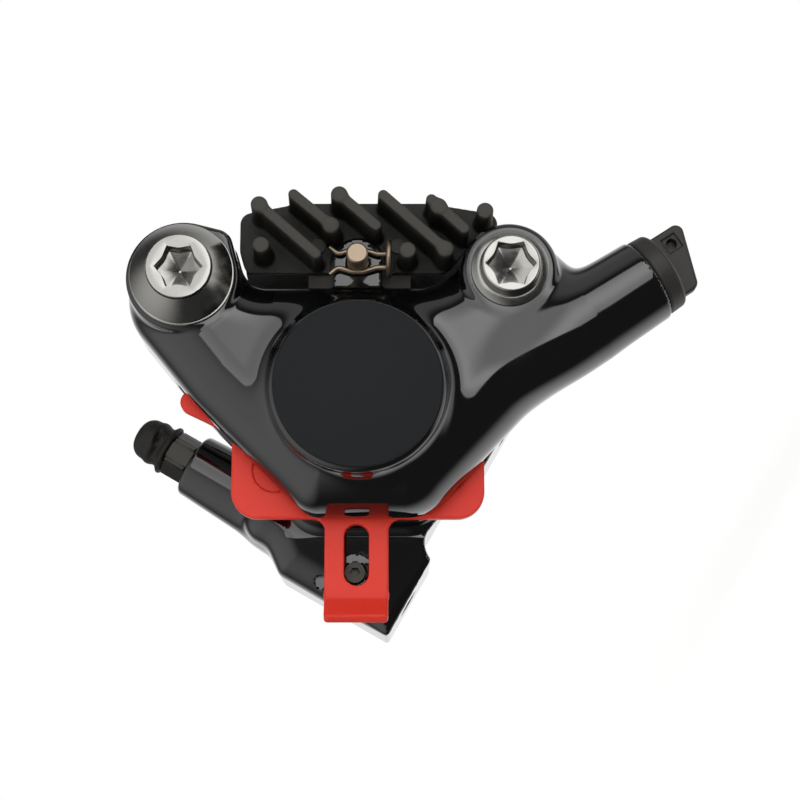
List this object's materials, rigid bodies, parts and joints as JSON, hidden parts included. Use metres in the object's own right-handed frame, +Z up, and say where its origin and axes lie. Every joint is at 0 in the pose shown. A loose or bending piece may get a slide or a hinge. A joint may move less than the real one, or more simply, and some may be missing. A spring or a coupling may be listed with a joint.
{
  "type": "bicycle disc brake caliper",
  "caption": "Flat-mount hydraulic road disc brake caliper: bolted two-piece body, opposed pistons, finned pads, hose tube, bleed screw and transit spacer.",
  "frame": {"origin": "on the foot's mounting face, midway between the two mounting holes", "axes": "+Z up from the foot along the mounting bolts, +X along the line of the holes towards the hose end, +Y outboard along the rotor's axis (the rotor runs 15 mm inboard of the holes, at Y = -15 mm)"},
  "size_m": [0.0851, 0.0432, 0.0821],
  "materials": {
    "black_body": "gloss black coat",
    "bolt_steel": "polished",
    "plate_steel": "satin",
    "radiator_coat": "matt coated",
    "clip_nickel": "satin",
    "rivet_steel": "satin",
    "spring_steel": "satin",
    "lining": "coarse",
    "piston_ceramic": "smooth",
    "seal_rubber": "matt",
    "cap_rubber": "matt",
    "plug_plastic": "fine grain",
    "spacer_plastic": "satin",
    "nipple_steel": "satin"
  },
  "bodies": {
    "body": {"inboard_body": "black_body", "outboard_body": "black_body", "upper_body_bolt": "bolt_steel", "upper_bolt_washer": "bolt_steel", "front_body_bolt": "bolt_steel", "passage_ring": "seal_rubber", "passage_screw": "nipple_steel", "inboard_piston_seal": "seal_rubber", "outboard_piston_seal": "seal_rubber", "pad_spring": "spring_steel", "pad_axle": "clip_nickel", "axle_clip": "clip_nickel"},
    "inboard_piston_body": {"inboard_piston": "piston_ceramic"},
    "outboard_piston_body": {"outboard_piston": "piston_ceramic"},
    "inboard_pad": {"inboard_pad_plate": "plate_steel", "inboard_pad_lining": "lining", "inboard_radiator": "radiator_coat", "inboard_radiator_rivets": "rivet_steel"},
    "outboard_pad": {"outboard_pad_plate": "plate_steel", "outboard_pad_lining": "lining", "outboard_radiator": "radiator_coat", "outboard_radiator_rivets": "rivet_steel"},
    "spacer": {"pad_spacer": "spacer_plastic"},
    "nipple": {"bleed_nipple": "nipple_steel"},
    "cap": {"bleed_cap": "cap_rubber"},
    "plug": {"hose_plug": "plug_plastic"}
  },
  "joints": [
    {"name": "inboard_pad_slide", "type": "slide", "parent": "body", "child": "inboard_pad", "axis": [0, 1, 0], "range_m": [0, 0.0006]},
    {"name": "inboard_piston_slide", "type": "slide", "parent": "body", "child": "inboard_piston_body", "axis": [0, 1, 0], "range_m": [0, 0.0006]},
    {"name": "outboard_piston_slide", "type": "slide", "parent": "body", "child": "outboard_piston_body", "axis": [0, -1, 0], "range_m": [0, 0.0006]},
    {"name": "outboard_pad_slide", "type": "slide", "parent": "body", "child": "outboard_pad", "axis": [0, -1, 0], "range_m": [0, 0.0006]},
    {"name": "spacer_pull", "type": "slide", "parent": "body", "child": "spacer", "axis": [-0.866, 0, -0.5], "range_m": [0, 0.06]},
    {"name": "bleed_nipple_turn", "type": "hinge", "parent": "body", "child": "nipple", "pos_m": [-0.0147, 0, 0.0445], "axis": [0, 0, 1], "range_deg": [0, 180]},
    {"name": "bleed_cap_pull", "type": "slide", "parent": "nipple", "child": "cap", "axis": [0, 0, 1], "range_m": [0, 0.015]},
    {"name": "hose_plug_pull", "type": "slide", "parent": "body", "child": "plug", "axis": [0.8909, 0, -0.4543], "range_m": [0, 0.02]}
  ],
  "couplings": [
    {"joint": "inboard_piston_slide", "follows": "inboard_pad_slide", "ratio": 1},
    {"joint": "outboard_piston_slide", "follows": "inboard_pad_slide", "ratio": 1},
    {"joint": "outboard_pad_slide", "follows": "inboard_pad_slide", "ratio": 1}
  ]
}
